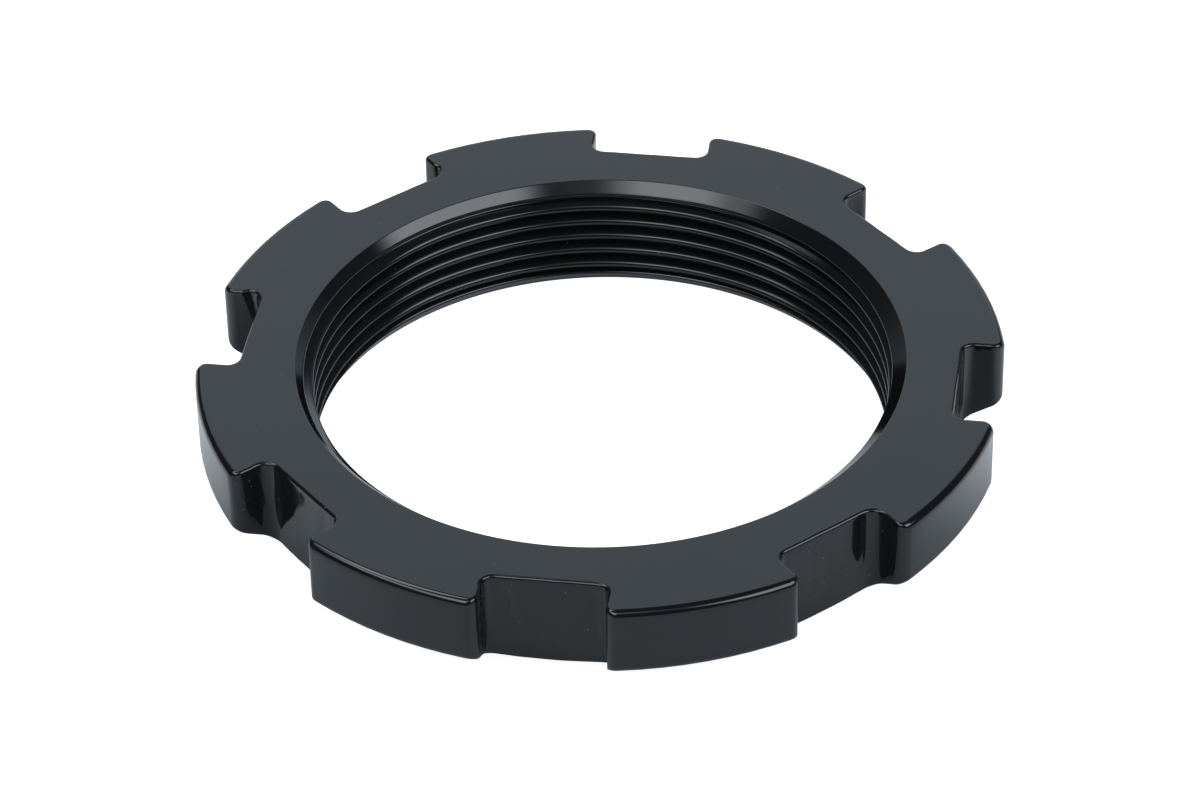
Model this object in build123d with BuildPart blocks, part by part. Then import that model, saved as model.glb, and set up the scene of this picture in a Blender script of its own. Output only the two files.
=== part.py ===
from build123d import *

import os
from math import hypot

# Lock ring: a ring nut that is driven by the notches in its rim. The top face is flat,
# the bore carries a fine internal thread, and the underside is bevelled back from the
# rim to the narrow seat that the ring is tightened against.
# The ring's axis is Z and the seat lies in the plane z = 0.

# Blank
thread_crest_diameter = 32.0  # the bore, drawn plain at the crests of the M33 x 1 thread
ring_width = 6.5  # from the crests out to the lobes
ring_height = 6.75
rim_height = 3.9  # straight outer wall, measured down from the top face
seat_width = 1.0  # the bevel under the rim starts at the seat's outer edge

# Edges of the bore
mouth_chamfer = 0.95  # 45 degree lead-in at the top face
seat_chamfer = 0.6  # 45 degree lead-out at the seat

# Notches
notch_count = 8
notch_depth = 2.65
notch_width = 6.75  # between parallel flanks
notch_root_radius = 0.7
lobe_corner_radius = 0.6

# Edge roundings
top_edge_radius = 0.33
rim_edge_radius = 0.4  # where the outer wall runs into the bevel

bore_radius = thread_crest_diameter / 2
outer_radius = bore_radius + ring_width
bevel_height = ring_height - rim_height
seat_radius = bore_radius + seat_chamfer + seat_width
# The cutting shapes run on past the rim by one notch depth
cut_length = 2 * notch_depth
cut_radius = outer_radius + notch_depth


with BuildPart() as lock_ring:
    # Plan of the rim: a disc with square notches, rounded in their roots and on the lobes
    with BuildSketch() as plan:
        Circle(outer_radius)
        with PolarLocations(outer_radius, notch_count):
            Rectangle(cut_length, notch_width, mode=Mode.SUBTRACT)
        notch_corners = plan.vertices().group_by(lambda v: hypot(v.X, v.Y))[0]
        fillet(notch_corners, notch_root_radius)
        lobe_corners = plan.vertices().group_by(lambda v: hypot(v.X, v.Y))[-1]
        fillet(lobe_corners, lobe_corner_radius)
    extrude(amount=ring_height)

    # Underside bevel, a cone that rises from the seat and runs into the rim over a small round
    with BuildSketch(Plane.XZ) as bevel:
        Polygon(
            (seat_radius, 0),
            (outer_radius, bevel_height),
            (outer_radius, ring_height - top_edge_radius),
            (cut_radius, ring_height - top_edge_radius),
            (cut_radius, 0),
            align=None,
        )
        rim_corner = bevel.vertices().sort_by_distance((outer_radius, bevel_height, 0))[0]
        fillet(rim_corner, rim_edge_radius)
    revolve(axis=Axis.Z, mode=Mode.SUBTRACT)

    # Rounded edge over the top of the rim, round every lobe and notch
    top_face = lock_ring.faces().sort_by(Axis.Z)[-1]
    fillet(top_face.outer_wire().edges(), top_edge_radius)

    # Bore, with its lead-in at the top and its lead-out at the seat
    Hole(radius=bore_radius)
    bore = lock_ring.faces().filter_by(GeomType.CYLINDER).sort_by(SortBy.AREA)[-1]
    mouth_edge = bore.edges().filter_by(GeomType.CIRCLE).sort_by(Axis.Z)[-1]
    seat_edge = bore.edges().filter_by(GeomType.CIRCLE).sort_by(Axis.Z)[0]
    chamfer(mouth_edge, mouth_chamfer)
    chamfer(seat_edge, seat_chamfer)

lock_ring.part.label = "lock_ring"

os.makedirs("parts", exist_ok=True)
export_step(lock_ring.part, "parts/lock_ring.step")
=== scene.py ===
"""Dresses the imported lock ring: one coated steel ring with a fine thread, on a pale studio floor.

The classes hold lengths in millimetres and angles in degrees. A mesh is written in metres.
"""

import logging
from dataclasses import dataclass, field
from enum import Enum
from math import cos, pi, radians, sin, sqrt, tan
from typing import Mapping, Sequence, Union

import bpy
import numpy as np
from mathutils import Matrix, Vector


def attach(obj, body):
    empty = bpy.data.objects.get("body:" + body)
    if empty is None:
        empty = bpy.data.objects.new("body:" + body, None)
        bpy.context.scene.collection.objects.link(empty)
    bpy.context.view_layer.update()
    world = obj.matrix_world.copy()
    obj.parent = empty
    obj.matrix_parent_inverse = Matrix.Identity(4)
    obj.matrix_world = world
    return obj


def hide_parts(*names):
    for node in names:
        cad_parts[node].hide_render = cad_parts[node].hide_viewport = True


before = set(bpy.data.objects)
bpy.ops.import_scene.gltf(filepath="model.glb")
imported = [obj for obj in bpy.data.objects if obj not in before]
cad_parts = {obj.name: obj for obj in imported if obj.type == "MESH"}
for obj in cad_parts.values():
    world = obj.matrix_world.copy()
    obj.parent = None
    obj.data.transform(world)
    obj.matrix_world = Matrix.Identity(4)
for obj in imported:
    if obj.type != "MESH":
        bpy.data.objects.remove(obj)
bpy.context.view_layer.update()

Array = np.ndarray
Number = Union[float, int]

MM = 0.001
PHOTO_WIDTH = 1200
MILLED_LAYER = "milled"  # the vertex attribute with the share of milled surface
WHITE = (1.0, 1.0, 1.0, 1.0)

log = logging.getLogger("lock_ring")


class Ray(Enum):
    """Kinds of ray that the studio answers in its own way."""

    CAMERA = "Is Camera Ray"
    MIRRORED = "Is Glossy Ray"


def smooth_step(low: float, high: float, value: Array) -> Array:
    """Rises from 0 at low to 1 at high, as 3 t squared minus 2 t cubed.

    Args:
        low: where the rise starts.
        high: where it ends, above low.
        value: positions.

    Returns:
        The share, from 0 to 1, at each position.
    """
    share = np.clip((value - low) / (high - low), 0.0, 1.0)
    return share * share * (3.0 - 2.0 * share)


def smooth_max(first: Array, second: Array, blend: float) -> Array:
    """The larger of two values, with the corner between them rounded.

    Where they differ by less than the blend, a quarter of the blend times the square of the
    nearness is added to the larger one.

    Args:
        first: one value at each place.
        second: the other value.
        blend: width over which the corner is rounded.

    Returns:
        The rounded maximum.
    """
    nearness = np.clip(1.0 - np.abs(first - second) / blend, 0.0, 1.0)
    return np.maximum(first, second) + nearness * nearness * blend / 4.0


def cell_triangles(near: Array, far: Array, near_after: Array, far_after: Array) -> Array:
    """Two triangles for each cell of a grid.

    Args:
        near: vertex numbers at the cells' first corners.
        far: those one row further on.
        near_after: those one column further on.
        far_after: those one row and one column further on.

    Returns:
        Vertex numbers, three to a row.
    """
    first = np.stack([near, far, far_after], axis=-1).reshape(-1, 3)
    second = np.stack([near, far_after, near_after], axis=-1).reshape(-1, 3)
    return np.concatenate([first, second])


def grid_triangles(index: Array) -> Array:
    """Triangles of a grid that is closed from its last column to its first.

    Args:
        index: vertex numbers, one row of the grid per row. The rows follow the section clockwise
            in the half plane to the right of the axis, and the columns run anticlockwise.

    Returns:
        Vertex numbers, three to a row, with the faces turned outwards.
    """
    after = np.roll(index, -1, axis=1)
    return cell_triangles(index[:-1], index[1:], after[:-1], after[1:])


def stitch_triangles(coarse: Array, fine: Array) -> Array:
    """Triangles between a row of n vertices and the next row of 2 n, both closed.

    Args:
        coarse: vertex numbers of the row with n vertices.
        fine: vertex numbers of the row after it, with 2 n. Its even ones face the coarse ones.

    Returns:
        Vertex numbers, three to a row, with the faces turned outwards.
    """
    coarse_after = np.roll(coarse, -1)
    even, odd = fine[0::2], fine[1::2]
    even_after = np.roll(even, -1)
    return np.concatenate(
        [
            np.column_stack([coarse, even, odd]),
            np.column_stack([coarse, odd, coarse_after]),
            np.column_stack([odd, even_after, coarse_after]),
        ]
    )


def kept_triangles(triangles: Array) -> Array:
    """The triangles whose three corners are different vertices."""
    a, b, c = triangles.T
    return triangles[(a != b) & (b != c) & (a != c)]


def ring_row(radius: Number, height: Number, angles: Array) -> Array:
    """Points of a level circle round the axis.

    Args:
        radius: of the circle, in mm.
        height: above the seat, in mm.
        angles: where the points lie, in radians.

    Returns:
        Points, one to a row.
    """
    level = np.full_like(angles, height)
    return np.column_stack([radius * np.cos(angles), radius * np.sin(angles), level])


@dataclass(frozen=True)
class RingSizes:
    """Main sizes of the ring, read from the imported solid."""

    outer_radius: float
    bore_radius: float
    height: float

    @classmethod
    def of_node(cls, name: str) -> "RingSizes":
        """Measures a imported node: its largest and smallest distance from the axis, and its height.

        Args:
            name: the node's name in the frame.

        Returns:
            The sizes in mm.
        """
        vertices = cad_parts[name].data.vertices
        flat = np.empty(3 * len(vertices), np.float32)
        vertices.foreach_get("co", flat)
        x, y, z = flat.reshape(-1, 3).astype(float).T / MM
        distance = np.hypot(x, y)
        return cls(float(distance.max()), float(distance.min()), float(z.max()))


@dataclass(frozen=True)
class Outline:
    """The rim's plan once round, from the middle of the notch on +X, anticlockwise.

    Each field has one entry per column of the mesh.
    """

    points: Array
    normals: Array
    along: Array  # distance from the middle of the nearest notch, signed, in mm
    notch: Array  # number of the nearest notch
    milled: Array  # 1 on the walls of a notch, 0 on a lobe

    @property
    def radial(self) -> Array:
        """How far each normal points away from the axis, from -1 to 1."""
        out = self.points / np.linalg.norm(self.points, axis=1)[:, None]
        return (out * self.normals).sum(axis=1)


@dataclass(frozen=True)
class NotchedPlan:
    """Sizes of the notched plan, and how many columns each stretch of it gets."""

    outer_radius: float
    notch_count: int = 8
    notch_depth: float = 2.65
    notch_width: float = 6.75
    root_radius: float = 0.7
    corner_radius: float = 0.6
    floor_crowding: float = 1.5  # above 1, the floor's columns crowd towards its ends
    floor_columns: int = 16
    root_columns: int = 9
    flank_columns: int = 8
    corner_columns: int = 5
    lobe_columns: int = 4

    def half_sector(self) -> tuple[Array, Array, Array]:
        """The plan from the middle of the notch on +X to the middle of the next lobe.

        The floor is a line across the X axis, crowded towards its end. The root is an arc tangent
        to floor and flank, on the open side. The flank is a line along X. The corner is an arc
        tangent to the flank and, from inside, to the lobe's circle. The lobe is that circle.

        Returns:
            Points, outward normals, and the share of milled surface at each point.
        """
        floor_x = self.outer_radius - self.notch_depth
        flank_y = self.notch_width / 2
        root_y = flank_y - self.root_radius
        root_centre = np.array([floor_x + self.root_radius, root_y])

        # The corner's centre lies on a line beside the flank and on a circle inside the lobe
        corner_y = flank_y + self.corner_radius
        reach = self.outer_radius - self.corner_radius
        corner_centre = np.array([sqrt(reach**2 - corner_y**2), corner_y])
        lobe_start = np.arctan2(corner_centre[1], corner_centre[0])

        share = np.linspace(0, 1, self.floor_columns + 1)
        floor_y = root_y * (1 - (1 - share) ** self.floor_crowding)
        floor = np.column_stack([np.full_like(floor_y, floor_x), floor_y])
        floor_normal = np.tile([1.0, 0.0], (len(floor), 1))

        turn = np.linspace(pi, pi / 2, self.root_columns + 1)[1:]
        spoke = np.column_stack([np.cos(turn), np.sin(turn)])
        root = root_centre + self.root_radius * spoke
        root_normal = -spoke

        flank_start = root[-1]
        flank_normal = np.array([0.0, -1.0])
        flank_end = corner_centre + self.corner_radius * flank_normal
        share = np.linspace(0, 1, self.flank_columns + 1)[1:, None]
        flank = flank_start + share * (flank_end - flank_start)
        flank_normals = np.tile(flank_normal, (len(flank), 1))

        turn = np.linspace(-pi / 2, lobe_start, self.corner_columns + 1)[1:]
        spoke = np.column_stack([np.cos(turn), np.sin(turn)])
        corner = corner_centre + self.corner_radius * spoke

        angle = np.linspace(lobe_start, pi / self.notch_count, self.lobe_columns + 1)[1:]
        lobe_normal = np.column_stack([np.cos(angle), np.sin(angle)])
        lobe = self.outer_radius * lobe_normal

        points = np.concatenate([floor, root, flank, corner, lobe])
        normals = np.concatenate([floor_normal, root_normal, flank_normals, spoke, lobe_normal])
        milled = np.zeros(len(points))
        cut = len(floor) + len(root) + len(flank)
        milled[:cut] = 1.0
        milled[cut : cut + len(corner)] = 1 - np.arange(1, len(corner) + 1) / len(corner)
        return points, normals, milled

    def outline(self) -> Outline:
        """Carries the half sector round the ring: as it is, then mirrored, once for each notch.

        Returns:
            The whole outline.
        """
        points, normals, milled = self.half_sector()
        steps = np.linalg.norm(np.diff(points, axis=0), axis=1)
        along = np.concatenate([[0.0], np.cumsum(steps)])
        flip = np.array([1.0, -1.0])
        back = slice(len(points) - 2, 0, -1)
        numbers = np.arange(self.notch_count)
        turns = 2 * pi / self.notch_count * numbers
        next_turns = turns + 2 * pi / self.notch_count

        def turned(vectors: Array, angles: Array) -> Array:
            """Copies of the vectors, turned by each angle, as an array of copies."""
            c, s = np.cos(angles)[:, None], np.sin(angles)[:, None]
            x, y = vectors.T
            return np.stack([c * x - s * y, s * x + c * y], axis=-1)

        def all_round(ahead: Array, behind: Array) -> Array:
            """Joins what lies ahead of each notch with what lies behind the next."""
            joined = np.concatenate([ahead, behind], axis=1)
            return joined.reshape(-1, *joined.shape[2:])

        ones = np.ones((self.notch_count, 1))
        return Outline(
            points=all_round(turned(points, turns), turned((points * flip)[back], next_turns)),
            normals=all_round(turned(normals, turns), turned((normals * flip)[back], next_turns)),
            along=all_round(ones * along, -ones * along[back]),
            notch=all_round(
                numbers[:, None] * np.ones_like(along),
                ((numbers + 1) % self.notch_count)[:, None] * np.ones_like(along[back]),
            ),
            milled=all_round(ones * milled, ones * milled[back]),
        )


@dataclass(frozen=True)
class Scallop:
    """A slanting step that the cutter left down the wall of one notch.

    Places are distances along the wall from the notch's middle, signed, at the top face. Going
    from there towards the middle, the wall falls back over the riser and returns over the ramp.
    """

    notch: int
    place: float
    cut: float
    riser: float
    ramp: float
    slant: float = 0.0
    start: float = -1.0
    end: float = 9.0
    fade: float = 0.6

    def offset(self, outline: Outline, depth: Array) -> Array:
        """How far the step lies below the wall, as negative numbers.

        Both sides of the step are straight. It fades out smoothly above its start and below
        its end, and the slant carries it towards the middle with depth.

        Args:
            outline: the plan, for the place of each column.
            depth: of each column's point below the top face, in mm.

        Returns:
            Offsets in mm along the outward normals.
        """
        side = np.sign(self.place)
        inward = abs(self.place) - self.slant * depth - side * outline.along
        fall = np.clip(inward / self.riser, 0.0, 1.0)
        back = np.clip((inward - self.riser) / self.ramp, 0.0, 1.0)
        shown = smooth_step(self.start - self.fade, self.start, depth)
        shown = shown * (1.0 - smooth_step(self.end, self.end + self.fade, depth))
        return -self.cut * fall * (1.0 - back) * shown * (outline.notch == self.notch)


@dataclass(frozen=True)
class MillingMarks:
    """Shallow waves, ridges and steps that the cutter left on the notch walls, under the coating."""

    top: float
    scallops: tuple[Scallop, ...] = (
        # Steps on the flanks
        Scallop(notch=4, place=-4.15, cut=0.17, riser=0.34, ramp=0.75, slant=0.23, end=4.0),
        Scallop(notch=3, place=-4.15, cut=0.15, riser=0.34, ramp=0.75, slant=0.23, end=4.0),
        Scallop(notch=5, place=-4.2, cut=0.05, riser=0.22, ramp=0.7, slant=0.22, end=3.4),
        Scallop(notch=6, place=-4.1, cut=0.035, riser=0.24, ramp=0.7, slant=0.2, end=3.0),
        # Shallow lenses on the floors
        Scallop(notch=6, place=-2.55, cut=0.09, riser=0.4, ramp=0.28, start=1.2, end=2.4, fade=0.8),
        Scallop(notch=6, place=2.75, cut=0.06, riser=0.3, ramp=0.19, slant=-0.03, start=0.8, end=3.2),
        Scallop(notch=7, place=2.62, cut=0.03, riser=0.22, ramp=0.35, start=0.4, end=3.6),
        Scallop(notch=0, place=2.6, cut=0.025, riser=0.2, ramp=0.4, start=0.3, end=3.4),
        Scallop(notch=5, place=2.4, cut=0.02, riser=0.2, ramp=0.6, slant=0.2, start=0.6, end=3.4),
    )
    seed: int = 7
    wave_lengths: tuple[float, ...] = (2.3, 1.1, 0.62)
    wave_heights: tuple[float, ...] = (0.006, 0.003, 0.0016)
    lean: float = 0.25
    ridge_place: float = 2.42
    ridge_width: float = 0.13
    ridge_height: float = 0.011
    ridge_level: float = 4.3
    ridge_reach: float = 1.5
    place_spread: float = 0.15
    slant_spread: float = 0.12
    level_spread: float = 0.4

    def offset(self, outline: Outline, height: Array) -> Array:
        """How far the wall stands proud of its plan.

        A sum of sine waves along the wall, whose phases differ from notch to notch and drift
        with height, plus a low ridge near each end of the floor. A ridge is a bell curve across
        and a flatter one along its height. The scallops come on top.

        Args:
            outline: the plan, for the place of each column.
            height: of each column's point, in mm.

        Returns:
            Offsets in mm along the outward normals.
        """
        draws = np.random.default_rng(self.seed)
        notches = outline.notch.astype(int)
        count = notches.max() + 1
        total = np.zeros(len(notches))
        for length, size in zip(self.wave_lengths, self.wave_heights):
            phase = draws.uniform(0, 2 * pi, count)[notches]
            drift = draws.uniform(-self.lean, self.lean, count)[notches]
            total += size * np.sin(2 * pi * (outline.along + drift * height) / length + phase)
        for side in (-1, 1):
            stray = draws.uniform(-self.place_spread, self.place_spread, count)[notches]
            place = side * (self.ridge_place + stray)
            slant = draws.uniform(-self.slant_spread, self.slant_spread, count)[notches]
            rise = draws.uniform(-self.level_spread, self.level_spread, count)[notches]
            level = self.ridge_level + rise
            across = (outline.along - place - slant * (height - level)) / self.ridge_width
            upward = (height - level) / self.ridge_reach
            total += self.ridge_height * np.exp(-(across**2) - upward**4)
        total *= outline.milled
        for scallop in self.scallops:
            total += scallop.offset(outline, self.top - height)
        return total


@dataclass(frozen=True)
class Rim:
    """The outside of the ring: top face, rounded edge, wall, bevelled underside and seat."""

    sizes: RingSizes
    marks: MillingMarks
    rim_height: float = 3.9
    lobe_top_radius: float = 0.4
    notch_top_radius: float = 0.18
    lobe_lower_radius: float = 0.4
    notch_lower_radius: float = 0.12
    seat_radius: float = 17.6
    edge_rows: int = 7
    wall_rows: int = 18
    lower_rows: int = 5
    bevel_rows: int = 7
    bevel_inset: float = 0.02  # share of the way to the seat at which the cone's first row lies
    edge_inset: float = 0.03  # of the top face's marked row, from the rounded edge
    lobe_face_inset: float = 0.5  # of its plain row, from the outline
    notch_face_inset: float = 0.42
    seat_inset: float = 0.05  # of the seat's outermost circle, from the cone

    @property
    def slope(self) -> float:
        """Rise of the bevelled underside for each mm outwards."""
        return (self.sizes.height - self.rim_height) / (self.sizes.outer_radius - self.seat_radius)

    def shell_row(self, outline: Outline, depth: Array, height: Array) -> Array:
        """The outline moved inwards by depth, at the given heights, with the milling marks.

        Args:
            outline: the plan.
            depth: distance inwards along the normals, in mm.
            height: above the seat, in mm.

        Returns:
            Points, one to a row.
        """
        reach = self.marks.offset(outline, height) - depth
        flat = outline.points + outline.normals * reach[:, None]
        return np.column_stack([flat, height])

    @staticmethod
    def edge_radius(outline: Outline, lobe: float, notch: float) -> Array:
        """Radius of a rounded edge at each column, easing from lobe to notch over the corners."""
        return lobe + (notch - lobe) * smooth_step(0, 1, outline.milled)

    def lower_edge(self, outline: Outline) -> tuple[Array, list[Array]]:
        """Rounds the edge between the upright wall and the cone of the underside.

        Seen along the wall, the cone falls inwards at its slope times the normal's radial share.
        The arc is tangent to the wall and to that line, and runs from level to the line's normal.

        Args:
            outline: the plan.

        Returns:
            The height at which the arc leaves the wall, and the rows of the arc after that.
        """
        radius = self.edge_radius(outline, self.lobe_lower_radius, self.notch_lower_radius)
        distance = np.linalg.norm(outline.points, axis=1)
        edge = (distance - self.seat_radius) * self.slope
        fall = np.arctan(self.slope * outline.radial)
        start = edge + radius / np.tan((pi / 2 + fall) / 2)
        rows = []
        for share in np.linspace(0, 1, self.lower_rows + 1)[1:]:
            turn = -share * (pi / 2 - fall)
            depth = radius * (1 - np.cos(turn))
            rows.append(self.shell_row(outline, depth, start + radius * np.sin(turn)))
        x, y, _ = rows[-1].T
        rows[-1] = np.column_stack([x, y, (np.hypot(x, y) - self.seat_radius) * self.slope])
        return start, rows

    def bevel(self, edge: Array, angles: Array) -> list[Array]:
        """Rows on the cone, from the rounded edge to the seat.

        Distance and angle run evenly from each point of the edge to the even circle of the seat,
        and the height is the slope times the distance beyond the seat.

        Args:
            edge: last row of the rounded edge.
            angles: angle of each column on the seat, in radians.

        Returns:
            Rows of points.
        """
        x, y, _ = edge.T
        distance, angle = np.hypot(x, y), np.arctan2(y, x)
        swing = np.angle(np.exp(1j * (angles - angle)))
        shares = np.concatenate([[self.bevel_inset], np.linspace(0, 1, self.bevel_rows)[1:]])
        rows = []
        for share in shares:
            radius = distance + share * (self.seat_radius - distance)
            turned = angle + share * swing
            height = (radius - self.seat_radius) * self.slope
            rows.append(np.column_stack([radius * np.cos(turned), radius * np.sin(turned), height]))
        return rows

    def rows(self, outline: Outline, angles: Array) -> Array:
        """All rows of the outside, from the top face down and in to the seat.

        Args:
            outline: the plan.
            angles: even angles of the columns, for the seat.

        Returns:
            An array of rows, columns and x, y, z.
        """
        height = self.sizes.height
        edge = self.edge_radius(outline, self.lobe_top_radius, self.notch_top_radius)
        rounding = []
        for turn in np.linspace(pi / 2, 0, self.edge_rows + 1):
            level = height - edge * (1 - sin(turn))
            rounding.append(self.shell_row(outline, edge * (1 - cos(turn)), level))
        level = np.full(len(angles), height)
        inner = self.edge_radius(outline, self.lobe_face_inset, self.notch_face_inset)
        plain = outline.points - outline.normals * inner[:, None]
        face = [np.column_stack([plain, level]), self.shell_row(outline, edge + self.edge_inset, level)]
        lower_start, lower = self.lower_edge(outline)
        wall = []
        for share in np.linspace(0, 1, self.wall_rows + 1)[1:]:
            level_here = (height - edge) * (1 - share) + lower_start * share
            wall.append(self.shell_row(outline, np.zeros(len(angles)), level_here))
        seat = ring_row(self.seat_radius - self.seat_inset, 0, angles)
        under = self.bevel(lower[-1], angles)
        return np.stack([*face, *rounding, *wall, *lower, *under, seat])


@dataclass(frozen=True)
class Bore:
    """The inside of the ring: a right-hand thread, a lead-in at the mouth and a lead-out at the seat."""

    sizes: RingSizes
    pitch: float = 1.0
    depth: float = 0.6
    crest_width: float = 0.166
    flank_tilt: float = 30.0
    crest_rounding: float = 0.2
    under_rounding: float = 0.08
    root_rounding: float = 0.12
    crest_height: float = 0.087  # of one crest's middle above the seat, on the X axis
    mouth_chamfer: float = 0.95
    seat_chamfer: float = 0.6
    seat_lead: float = 1.0  # height of the lead-out
    runout_blend: float = 0.05
    edge_rounding: float = 0.07
    arc_middle: float = 0.2  # of the mouth's rounded edge, as a share of its reach
    mouth_clearance: float = 0.02  # between the thread's roots and the mouth's edge
    mouth_inset: float = 0.05  # of the last circle, from the mouth's rounded edge
    seat_insets: tuple[float, float] = (0.06, 0.02)  # of the seat's circles, from the lead-out
    lowest_row: float = 0.03  # height at which the thread's rows begin
    arc_steps: int = 5
    flank_rows: int = 3

    @property
    def mouth_radius(self) -> float:
        """Radius where the lead-in meets the top face."""
        return self.sizes.bore_radius + self.mouth_chamfer

    def profile(self) -> tuple[Array, Array]:
        """One pitch of the thread's section, from the middle of a crest up to the next one.

        The section is a crest flat, a flank, a root flat and a flank, with its four corners
        rounded by arcs. Each arc turns by the angle between flat and flank. A crest is rounder
        on its upper side than on its under side.

        Returns:
            Heights and radii of the points, in mm.
        """
        turn = pi / 2 - radians(self.flank_tilt)
        half_crest = self.crest_width / 2
        rise = self.depth / tan(turn)
        half_root = self.pitch / 2 - half_crest - rise
        crest, root = self.sizes.bore_radius, self.sizes.bore_radius + self.depth

        def arc(flat_end: float, radius: float, size: float, away: int) -> tuple[Array, Array]:
            """Points of the arc that leads from a flat at flat_end on to the flank above it."""
            angle = np.linspace(0, turn, self.arc_steps)
            start = flat_end - size * tan(turn / 2)
            return start + size * np.sin(angle), radius + away * size * (1 - np.cos(angle))

        def side(rounding: float) -> tuple[Array, Array]:
            """Half the section, from the crest's middle up to the root's, with one crest rounding."""
            low_z, low_r = arc(half_crest, crest, rounding, 1)
            high_z, high_r = arc(half_root, root, self.root_rounding, -1)
            high_z = self.pitch / 2 - high_z
            share = np.linspace(0, 1, self.flank_rows + 2)[1:-1]
            flank_z = low_z[-1] + share * (high_z[-1] - low_z[-1])
            flank_r = low_r[-1] + share * (high_r[-1] - low_r[-1])
            return (
                np.concatenate([low_z, flank_z, high_z[::-1]]),
                np.concatenate([low_r, flank_r, high_r[::-1]]),
            )

        upper_z, upper_r = side(self.crest_rounding)
        under_z, under_r = side(self.under_rounding)
        return (
            np.concatenate([upper_z, self.pitch - under_z[::-1]]),
            np.concatenate([upper_r, under_r[::-1]]),
        )

    def build(self, angles: Array, first: int) -> tuple[Array, Array, Array, Array]:
        """The whole inside, from the seat up to the top face.

        Rows follow the thread: the height is the row's place in the section plus the pitch for
        each turn. The radius is the largest of thread, lead-in cone and lead-out cone, with the
        corners between them rounded. A row that leaves the ring ends on the last circle there,
        and after one turn a row runs into the one that is a pitch higher.

        Args:
            angles: angle of each column, in radians.
            first: number of the first vertex.

        Returns:
            Points, triangles, and the vertex numbers of the lowest and highest circle.
        """
        height, count = self.sizes.height, len(angles)
        seat_radius = self.sizes.bore_radius + self.seat_chamfer
        lead = self.seat_chamfer / self.seat_lead
        low = self.lowest_row
        below = [(seat_radius + inset, 0.0) for inset in self.seat_insets]
        below.append((seat_radius - lead * low, low))
        reach = self.edge_rounding * tan(pi / 8)
        foot, middle = reach * sin(pi / 4), reach * self.arc_middle
        high = height - foot
        above = [
            (self.mouth_radius - foot, high),
            (self.mouth_radius - middle, height - middle),
            (self.mouth_radius + reach, height),
            (self.mouth_radius + reach + self.mouth_inset, height),
        ]
        circles = [ring_row(radius, level, angles) for radius, level in below + above]

        turns = (angles - angles[0]) / (2 * pi)
        start = self.crest_height + self.pitch * angles[0] / (2 * pi)
        section_z, section_r = self.profile()
        per_pitch = len(section_z)
        # Enough pitches below and above for every column, since a row climbs one in a turn
        lowest = int(np.floor((low - start) / self.pitch)) - 2
        highest = int(np.ceil((high - start) / self.pitch)) + 1
        bases = self.pitch * np.arange(lowest, highest) + start
        row_z = (bases[:, None] + section_z).ravel()
        row_r = np.tile(section_r, len(bases))
        z = row_z[:, None] + self.pitch * turns
        mouth_cone = self.mouth_radius - (height - z)
        seat_cone = seat_radius - lead * z
        widest = self.mouth_radius - self.mouth_clearance
        thread = np.minimum(row_r, widest)[:, None] * np.ones(count)
        radius = smooth_max(thread, mouth_cone, self.runout_blend)
        radius = smooth_max(radius, seat_cone, self.runout_blend)

        circle_index = first + np.arange(len(circles) * count).reshape(-1, count)
        bottom, top = circle_index[len(below) - 1], circle_index[len(below)]
        body_index = first + len(circles) * count + np.arange(z.size).reshape(z.shape)
        body_index = np.where(z <= low, bottom, np.where(z >= high, top, body_index))
        body = np.stack([radius * np.cos(angles), radius * np.sin(angles), z], axis=-1)

        seam = np.vstack([body_index[per_pitch:, :1], np.tile(top[:1], (per_pitch, 1))])
        after = np.hstack([body_index[:, 1:], seam])
        body_triangles = cell_triangles(body_index[:-1], body_index[1:], after[:-1], after[1:])
        points = np.concatenate([*circles, body.reshape(-1, 3)])
        triangles = np.concatenate(
            [
                grid_triangles(circle_index[: len(below)]),
                body_triangles,
                grid_triangles(circle_index[len(below) :]),
            ]
        )
        return points, triangles, circle_index[0], circle_index[-1]


class Value:
    """A number that a shader works out, for use in Python expressions."""

    def __init__(self, shader: "Shader", socket: bpy.types.NodeSocket) -> None:
        """Wraps an output socket of the shader's tree."""
        self.shader = shader
        self.socket = socket

    def __add__(self, other: "Operand") -> "Value":
        """This value plus another."""
        return self.shader.math("ADD", self, other)

    def __radd__(self, other: "Operand") -> "Value":
        """Another value plus this one."""
        return self.shader.math("ADD", other, self)

    def __sub__(self, other: "Operand") -> "Value":
        """This value less another."""
        return self.shader.math("SUBTRACT", self, other)

    def __rsub__(self, other: "Operand") -> "Value":
        """Another value less this one."""
        return self.shader.math("SUBTRACT", other, self)

    def __mul__(self, other: "Operand") -> "Value":
        """This value times another."""
        return self.shader.math("MULTIPLY", self, other)

    def __rmul__(self, other: "Operand") -> "Value":
        """Another value times this one."""
        return self.shader.math("MULTIPLY", other, self)

    def __truediv__(self, other: "Operand") -> "Value":
        """This value divided by another."""
        return self.shader.math("DIVIDE", self, other)

    def __abs__(self) -> "Value":
        """This value without its sign."""
        return self.shader.math("ABSOLUTE", self)

    def __gt__(self, other: "Operand") -> "Value":
        """1 where this value is above another, 0 elsewhere."""
        return self.shader.math("GREATER_THAN", self, other)

    def rise(self, low: float, high: float) -> "Value":
        """Rises smoothly from 0 where this value is low to 1 where it is high.

        Args:
            low: value at which the rise starts.
            high: value at which it ends. It may be the smaller one, for a fall.

        Returns:
            The share from 0 to 1.
        """
        made = self.shader.node(
            "ShaderNodeMapRange",
            {"interpolation_type": "SMOOTHSTEP"},
            {"Value": self, "From Min": low, "From Max": high},
        )
        return Value(self.shader, made.outputs["Result"])


Operand = Union[Value, Number]
Socket = Union[Value, bpy.types.NodeSocket, Number, Sequence[float]]


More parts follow.
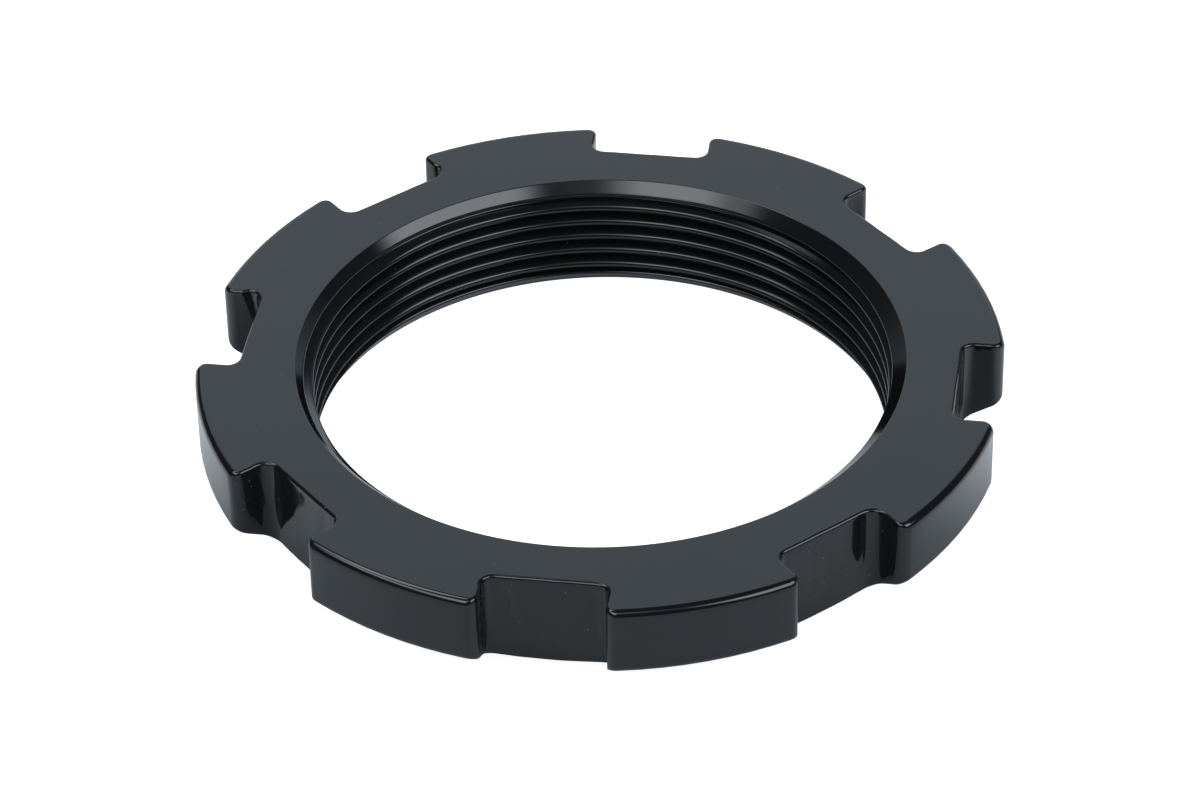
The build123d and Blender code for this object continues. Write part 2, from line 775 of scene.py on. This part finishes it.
class Shader:
    """Builds the node tree of a material or of the world."""

    def __init__(self, owner: Union[bpy.types.Material, bpy.types.World]) -> None:
        """Empties the owner's node tree and keeps it."""
        owner.use_nodes = True
        self.tree = owner.node_tree
        self.tree.nodes.clear()

    def node(
        self,
        kind: str,
        settings: Mapping[str, object] | None = None,
        sockets: Mapping[Union[str, int], Socket] | None = None,
    ) -> bpy.types.Node:
        """Adds a node.

        Args:
            kind: Blender's name of the node type.
            settings: properties of the node, set first.
            sockets: value or link for each input, by name or number.

        Returns:
            The node.
        """
        made = self.tree.nodes.new(kind)
        for name, setting in (settings or {}).items():
            setattr(made, name, setting)
        for name, value in (sockets or {}).items():
            target = made.inputs[name]
            if isinstance(value, Value):
                self.tree.links.new(value.socket, target)
            elif isinstance(value, bpy.types.NodeSocket):
                self.tree.links.new(value, target)
            else:
                target.default_value = value
        return made

    def math(self, operation: str, *operands: Operand) -> Value:
        """A Math node on one or two operands."""
        sockets = dict(enumerate(operands))
        made = self.node("ShaderNodeMath", {"operation": operation}, sockets)
        return Value(self, made.outputs[0])

    def dot(self, vector: bpy.types.NodeSocket, direction: Sequence[float]) -> Value:
        """The dot product of a vector socket and a fixed direction."""
        made = self.node("ShaderNodeVectorMath", {"operation": "DOT_PRODUCT"}, {0: vector, 1: direction})
        return Value(self, made.outputs["Value"])

    def scaled(self, vector: bpy.types.NodeSocket, scale: Sequence[float]) -> bpy.types.NodeSocket:
        """A vector socket times a scale for each axis."""
        made = self.node("ShaderNodeVectorMath", {"operation": "MULTIPLY"}, {0: vector, 1: scale})
        return made.outputs[0]

    def noise(self, vector: bpy.types.NodeSocket, scale: float, detail: float) -> Value:
        """Noise from 0 to 1 round 0.5.

        Args:
            vector: where it is read.
            scale: cells for each metre.
            detail: number of finer layers.

        Returns:
            The noise value.
        """
        sockets = {"Vector": vector, "Scale": scale, "Detail": detail}
        made = self.node("ShaderNodeTexNoise", None, sockets)
        return Value(self, made.outputs["Fac"])

    def sees(self, ray: Ray) -> Value:
        """1 for one kind of ray, 0 for the others."""
        return Value(self, self.node("ShaderNodeLightPath").outputs[ray.value])

    def attribute(self, name: str) -> Value:
        """A number kept on the mesh's vertices."""
        made = self.node("ShaderNodeAttribute", {"attribute_name": name})
        return Value(self, made.outputs["Fac"])

    def mixed(self, share: Operand, first: Socket, second: Socket) -> bpy.types.NodeSocket:
        """A colour between two colours."""
        made = self.node(
            "ShaderNodeMix", {"data_type": "RGBA"}, {"Factor": share, "A": first, "B": second}
        )
        return made.outputs["Result"]


@dataclass(frozen=True)
class BlackCoating:
    """A smooth, thin black coating, glossy enough to mirror its surroundings."""

    name: str = "black_coating"
    dust_colour: tuple[float, float, float, float] = (0.42, 0.43, 0.44, 1.0)
    dust_spacing: float = 0.36
    dust_edge: tuple[float, float] = (0.11, 0.05)  # a speck's rim, as shares of the spacing
    dust_limit: float = 0.985  # share of the cells that stay clean on the open faces
    dust_in_notches: float = 0.25  # by how much that share is smaller on the notch walls
    dust_cover: float = 0.4
    dust_roughness: float = 0.6
    cool: tuple[float, float, float, float] = (0.0034, 0.0043, 0.0054, 1.0)
    warm: tuple[float, float, float, float] = (0.0046, 0.0044, 0.0042, 1.0)
    cloud_size: float = 4.5
    cloud_range: tuple[float, float] = (0.38, 0.62)
    roughness: float = 0.1
    roughness_spread: float = 0.1
    refraction: float = 1.5
    peel_size: float = 1.1
    peel_height: float = 0.0006
    grain_size: float = 0.09
    grain_height: float = 0.00006
    streak_width: float = 0.16
    streak_length: float = 5.0
    streak_height: float = 0.0016

    def material(self) -> bpy.types.Material:
        """Makes the coating's material.

        Returns:
            A new material.
        """
        made = bpy.data.materials.new(self.name)
        shader = Shader(made)
        place = shader.node("ShaderNodeTexCoord").outputs["Object"]
        milled = shader.attribute(MILLED_LAYER)
        dust = self.dust(shader, place, milled)
        cloud = shader.noise(place, 1 / (self.cloud_size * MM), detail=4)
        rough = self.roughness + self.roughness_spread * (cloud - 0.5)
        colour = shader.mixed(cloud.rise(*self.cloud_range), self.cool, self.warm)
        coat = shader.node(
            "ShaderNodeBsdfPrincipled",
            None,
            {
                "Base Color": shader.mixed(dust, colour, self.dust_colour),
                "Roughness": rough + dust * self.dust_roughness,
                "IOR": self.refraction,
                "Normal": self.relief(shader, place, milled),
            },
        )
        shader.node("ShaderNodeOutputMaterial", None, {"Surface": coat.outputs[0]})
        return made

    def relief(self, shader: Shader, place: bpy.types.NodeSocket, milled: Value) -> bpy.types.NodeSocket:
        """Bump of the coating: slight peel and grain everywhere, upright streaks where it was milled.

        Args:
            shader: the tree to build in.
            place: object coordinates.
            milled: share of milled surface.

        Returns:
            The bent normal.
        """
        peel = shader.noise(place, 1 / (self.peel_size * MM), detail=1) - 0.5
        grain = shader.noise(place, 1 / (self.grain_size * MM), detail=1) - 0.5
        squeezed = shader.scaled(place, (1.0, 1.0, self.streak_width / self.streak_length))
        streak = shader.noise(squeezed, 1 / (self.streak_width * MM), detail=2) - 0.5
        height = peel * self.peel_height + grain * self.grain_height
        height = height + streak * self.streak_height * milled
        bump = shader.node("ShaderNodeBump", None, {"Distance": MM, "Strength": 1.0, "Height": height})
        return bump.outputs["Normal"]

    def dust(self, shader: Shader, place: bpy.types.NodeSocket, milled: Value) -> Value:
        """Specks of pale dust, sparse on the open faces and thicker in the notches.

        Space is split into random cells, each with a number from 0 to 1. The cells above a limit
        hold a round speck at their point, and the limit is lower on milled walls.

        Args:
            shader: the tree to build in.
            place: object coordinates.
            milled: share of milled surface.

        Returns:
            How much of the coating the dust hides, 0 between the specks.
        """
        scale = 1 / (self.dust_spacing * MM)
        cells = shader.node("ShaderNodeTexVoronoi", {"feature": "F1"}, {"Vector": place, "Scale": scale})
        near = Value(shader, cells.outputs["Distance"]).rise(*self.dust_edge)
        pick = shader.node("ShaderNodeSeparateColor", None, {"Color": cells.outputs["Color"]})
        chance = Value(shader, pick.outputs["Red"])
        limit = self.dust_limit - milled * self.dust_in_notches
        return near * (chance > limit) * self.dust_cover


@dataclass(frozen=True)
class Softbox:
    """A bright rectangle far away, with soft edges.

    Its azimuth is measured from straight ahead of the camera, to the right.
    """

    azimuth: float
    elevation: float
    half_width: float
    half_height: float
    radiance: float
    softness: float = 4.0
    facing: float = 0.05  # least cosine with the middle's direction, to drop the box's mirror image

    def light(self, shader: Shader, direction: bpy.types.NodeSocket, heading: float) -> Value:
        """The box's radiance in a direction.

        The direction is projected on the plane that faces the box's middle, where the box is a
        rectangle with a smooth fall at its sides.

        Args:
            shader: the world's tree.
            direction: unit vector that is looked along.
            heading: angle of straight ahead, in degrees from +Y towards +X.

        Returns:
            The radiance, where 1 is white.
        """
        side, up = radians(heading + self.azimuth), radians(self.elevation)
        middle = (sin(side) * cos(up), cos(side) * cos(up), sin(up))
        right = (cos(side), -sin(side), 0.0)
        top = (-sin(side) * sin(up), -cos(side) * sin(up), cos(up))
        ahead = shader.dot(direction, middle)
        across = abs(shader.dot(direction, right) / ahead)
        upward = abs(shader.dot(direction, top) / ahead)
        soft = tan(radians(self.softness))
        width, tall = tan(radians(self.half_width)), tan(radians(self.half_height))
        inside = across.rise(width + soft, width - soft) * upward.rise(tall + soft, tall - soft)
        return inside * (ahead > self.facing) * self.radiance


@dataclass(frozen=True)
class Studio:
    """Camera, surroundings and floor."""

    heading: float = -8.9  # straight ahead of the camera, from +Y towards +X
    boxes: tuple[Softbox, ...] = (
        Softbox(azimuth=-144, elevation=53, half_width=14, half_height=13, radiance=4.5, softness=8),
        Softbox(azimuth=116, elevation=45, half_width=21, half_height=15, radiance=4.6, softness=6),
        Softbox(azimuth=-40, elevation=63, half_width=13, half_height=7, radiance=4.5, softness=5),
        Softbox(azimuth=-99, elevation=53, half_width=12, half_height=6, radiance=4.4, softness=4),
    )
    screens: tuple[Softbox, ...] = (
        Softbox(azimuth=0, elevation=20, half_width=26, half_height=24, radiance=0.92),
        Softbox(azimuth=-176, elevation=66, half_width=12, half_height=9, radiance=1.15, softness=9),
        Softbox(azimuth=44, elevation=4, half_width=18, half_height=10, radiance=0.32, softness=12),
        Softbox(azimuth=-40, elevation=2, half_width=14, half_height=8, radiance=0.16, softness=12),
    )
    surrounding: float = 0.09  # radiance of the walls
    tint: tuple[float, float, float, float] = (0.87, 1.0, 1.13, 1.0)
    lamp_tint: tuple[float, float, float, float] = (0.94, 1.0, 1.04, 1.0)
    camera_elevation: float = 37.36
    camera_roll: float = -1.16
    camera_distance: float = 264.5
    middle_shift: tuple[float, float] = (0.034, -2.54)
    focal_pixels: float = 4766.7  # at the photograph's width
    sensor_width: float = 36.0
    floor_size: float = 3000.0
    floor_drop: float = 0.02
    floor_colour: tuple[float, float, float, float] = (0.62, 0.655, 0.69, 1.0)
    floor_lift: float = 0.95
    floor_glow: float = 0.05
    floor_wings: float = 0.4
    wings_aside: tuple[float, float] = (22.0, 27.0)  # where they rise, to each side of the ring
    wings_ahead: tuple[float, float] = (-20.0, -5.0)  # where they rise, away from the camera
    near_clip: float = 10.0

    def world(self) -> None:
        """Lights the scene from all round: dim walls, screens and soft boxes. The camera sees white."""
        world = bpy.data.worlds.new("studio")
        bpy.context.scene.world = world
        shader = Shader(world)
        direction = shader.node("ShaderNodeTexCoord").outputs["Generated"]
        dim: Operand = self.surrounding
        for screen in self.screens:
            dim = dim + screen.light(shader, direction, self.heading)
        bright: Operand = 0.0
        for box in self.boxes:
            bright = bright + box.light(shader, direction, self.heading)
        walls = shader.node("ShaderNodeBackground", None, {"Color": self.tint, "Strength": dim})
        lamps = shader.node("ShaderNodeBackground", None, {"Color": self.lamp_tint, "Strength": bright})
        room = shader.node("ShaderNodeAddShader", None, {0: walls.outputs[0], 1: lamps.outputs[0]})
        white = shader.node("ShaderNodeBackground", None, {"Color": WHITE, "Strength": 1.0})
        seen = shader.sees(Ray.CAMERA)
        both = shader.node("ShaderNodeMixShader", None, {0: seen, 1: room.outputs[0], 2: white.outputs[0]})
        shader.node("ShaderNodeOutputWorld", None, {"Surface": both.outputs[0]})

    def floor(self) -> bpy.types.Object:
        """A pale level floor just under the seat, clear when it is looked at from below.

        In the ring's reflections it is a little brighter on both sides of the ring.

        Returns:
            The floor.
        """
        half, level = self.floor_size / 2, -self.floor_drop
        plan = [(-half, -half), (half, -half), (half, half), (-half, half)]
        corners = np.array([(x, y, level) for x, y in plan])
        mesh = bpy.data.meshes.new("floor")
        mesh.from_pydata((corners * MM).tolist(), [], [(0, 1, 2, 3)])
        made = bpy.data.objects.new("floor", mesh)
        bpy.context.scene.collection.objects.link(made)
        finish = bpy.data.materials.new("pale_floor")
        shader = Shader(finish)
        seen = shader.sees(Ray.CAMERA) * self.floor_lift
        place = shader.node("ShaderNodeTexCoord").outputs["Object"]
        turn = radians(self.heading)
        aside = abs(shader.dot(place, (cos(turn), -sin(turn), 0.0))) / MM
        ahead = shader.dot(place, (sin(turn), cos(turn), 0.0)) / MM
        wings = aside.rise(*self.wings_aside) * ahead.rise(*self.wings_ahead) * self.floor_wings
        mirrored = shader.sees(Ray.MIRRORED) * (self.floor_glow + wings)
        paint = shader.node("ShaderNodeBsdfDiffuse", None, {"Color": self.floor_colour})
        lift = shader.node("ShaderNodeEmission", None, {"Color": WHITE, "Strength": seen + mirrored})
        pale = shader.node("ShaderNodeAddShader", None, {0: paint.outputs[0], 1: lift.outputs[0]})
        behind = shader.node("ShaderNodeNewGeometry").outputs["Backfacing"]
        clear = shader.node("ShaderNodeBsdfTransparent")
        both = shader.node("ShaderNodeMixShader", None, {0: behind, 1: pale.outputs[0], 2: clear.outputs[0]})
        shader.node("ShaderNodeOutputMaterial", None, {"Surface": both.outputs[0]})
        mesh.materials.append(finish)
        return made

    def camera(self, height: float) -> None:
        """Sets the camera at the photograph's place.

        The camera looks down at its elevation along its heading and is rolled a little. The
        middle of the ring's top face lies at the given shift and distance in the camera's axes.

        Args:
            height: of the top face, in mm.
        """
        down, ahead = radians(self.camera_elevation), radians(self.heading)
        right = Vector((cos(ahead), -sin(ahead), 0.0))
        forward = Vector((sin(ahead) * cos(down), cos(ahead) * cos(down), -sin(down)))
        below = forward.cross(right)
        roll = radians(self.camera_roll)
        rolled_right = cos(roll) * right - sin(roll) * below
        rolled_below = sin(roll) * right + cos(roll) * below
        aside, lower = self.middle_shift
        offset = aside * rolled_right + lower * rolled_below + self.camera_distance * forward
        place = (Vector((0, 0, height)) - offset) * MM
        axes = Matrix((rolled_right, -rolled_below, -forward)).transposed()
        lens = bpy.data.cameras.new("camera")
        lens.sensor_width = self.sensor_width
        lens.lens = self.focal_pixels / PHOTO_WIDTH * self.sensor_width
        lens.clip_start = self.near_clip * MM
        made = bpy.data.objects.new("camera", lens)
        made.matrix_world = Matrix.Translation(place) @ axes.to_4x4()
        bpy.context.scene.collection.objects.link(made)
        bpy.context.scene.camera = made

    def build(self, height: float) -> None:
        """Builds the studio round a ring of the given height in mm."""
        bpy.context.scene.view_settings.view_transform = "Standard"
        self.world()
        self.floor()
        self.camera(height)
        log.info("studio: %d soft boxes and %d screens", len(self.boxes), len(self.screens))


@dataclass(frozen=True)
class LockRing:
    """The whole ring: rim and bore in one closed skin, with its coating."""

    sizes: RingSizes
    finish: BlackCoating = field(default_factory=BlackCoating)
    node: str = "lock_ring"
    slot: str = "black_steel"
    name: str = "coated_lock_ring"

    def skin(self) -> tuple[Array, Array, Array]:
        """Works out the skin.

        Returns:
            Points in mm, triangles, and the share of milled surface at each point.
        """
        outline = NotchedPlan(self.sizes.outer_radius).outline()
        rim = Rim(self.sizes, MillingMarks(self.sizes.height))
        bore = Bore(self.sizes)
        fine = 2 * pi * np.arange(len(outline.along)) / len(outline.along)
        rows = rim.rows(outline, fine)
        rim_index = np.arange(rows.shape[0] * rows.shape[1]).reshape(rows.shape[:2])
        rim_points = rows.reshape(-1, 3)
        inner, inner_triangles, low, high = bore.build(fine[::2], len(rim_points))
        points = np.concatenate([rim_points, inner])
        triangles = np.concatenate(
            [
                grid_triangles(rim_index),
                inner_triangles,
                stitch_triangles(high, rim_index[0]),
                stitch_triangles(low, rim_index[-1])[:, ::-1],
            ]
        )
        milled = np.zeros(len(points))
        milled[: len(rim_points)] = np.tile(outline.milled, rows.shape[0])
        # The top face, the cone and the seat were turned, not milled
        milled[rim_index[:2].ravel()] = 0.0
        milled[rim_index[-rim.bevel_rows - 1 :].ravel()] = 0.0
        triangles = kept_triangles(triangles)
        used, packed = np.unique(triangles, return_inverse=True)
        return points[used], packed.reshape(-1, 3), milled[used]

    def build(self) -> bpy.types.Object:
        """Makes the ring's object and dresses it.

        Returns:
            The object, in the frame's place.
        """
        points, triangles, milled = self.skin()
        mesh = bpy.data.meshes.new(self.name)
        mesh.from_pydata((points * MM).tolist(), [], triangles.tolist(), shade_flat=False)
        layer = mesh.attributes.new(MILLED_LAYER, "FLOAT", "POINT")
        layer.data.foreach_set("value", milled.astype(np.float32))
        mesh.validate()
        mesh.materials.append(self.finish.material())
        made = bpy.data.objects.new(self.name, mesh)
        bpy.context.scene.collection.objects.link(made)
        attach(made, "root")
        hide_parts(self.node)
        log.info("%s: %d triangles", self.name, len(triangles))
        return made


def main() -> None:
    """Builds the ring and the studio."""
    logging.basicConfig(level=logging.INFO, format="%(name)s %(message)s")
    sizes = RingSizes.of_node("lock_ring")
    LockRing(sizes).build()
    Studio().build(sizes.height)


if __name__ == "__main__":
    main()
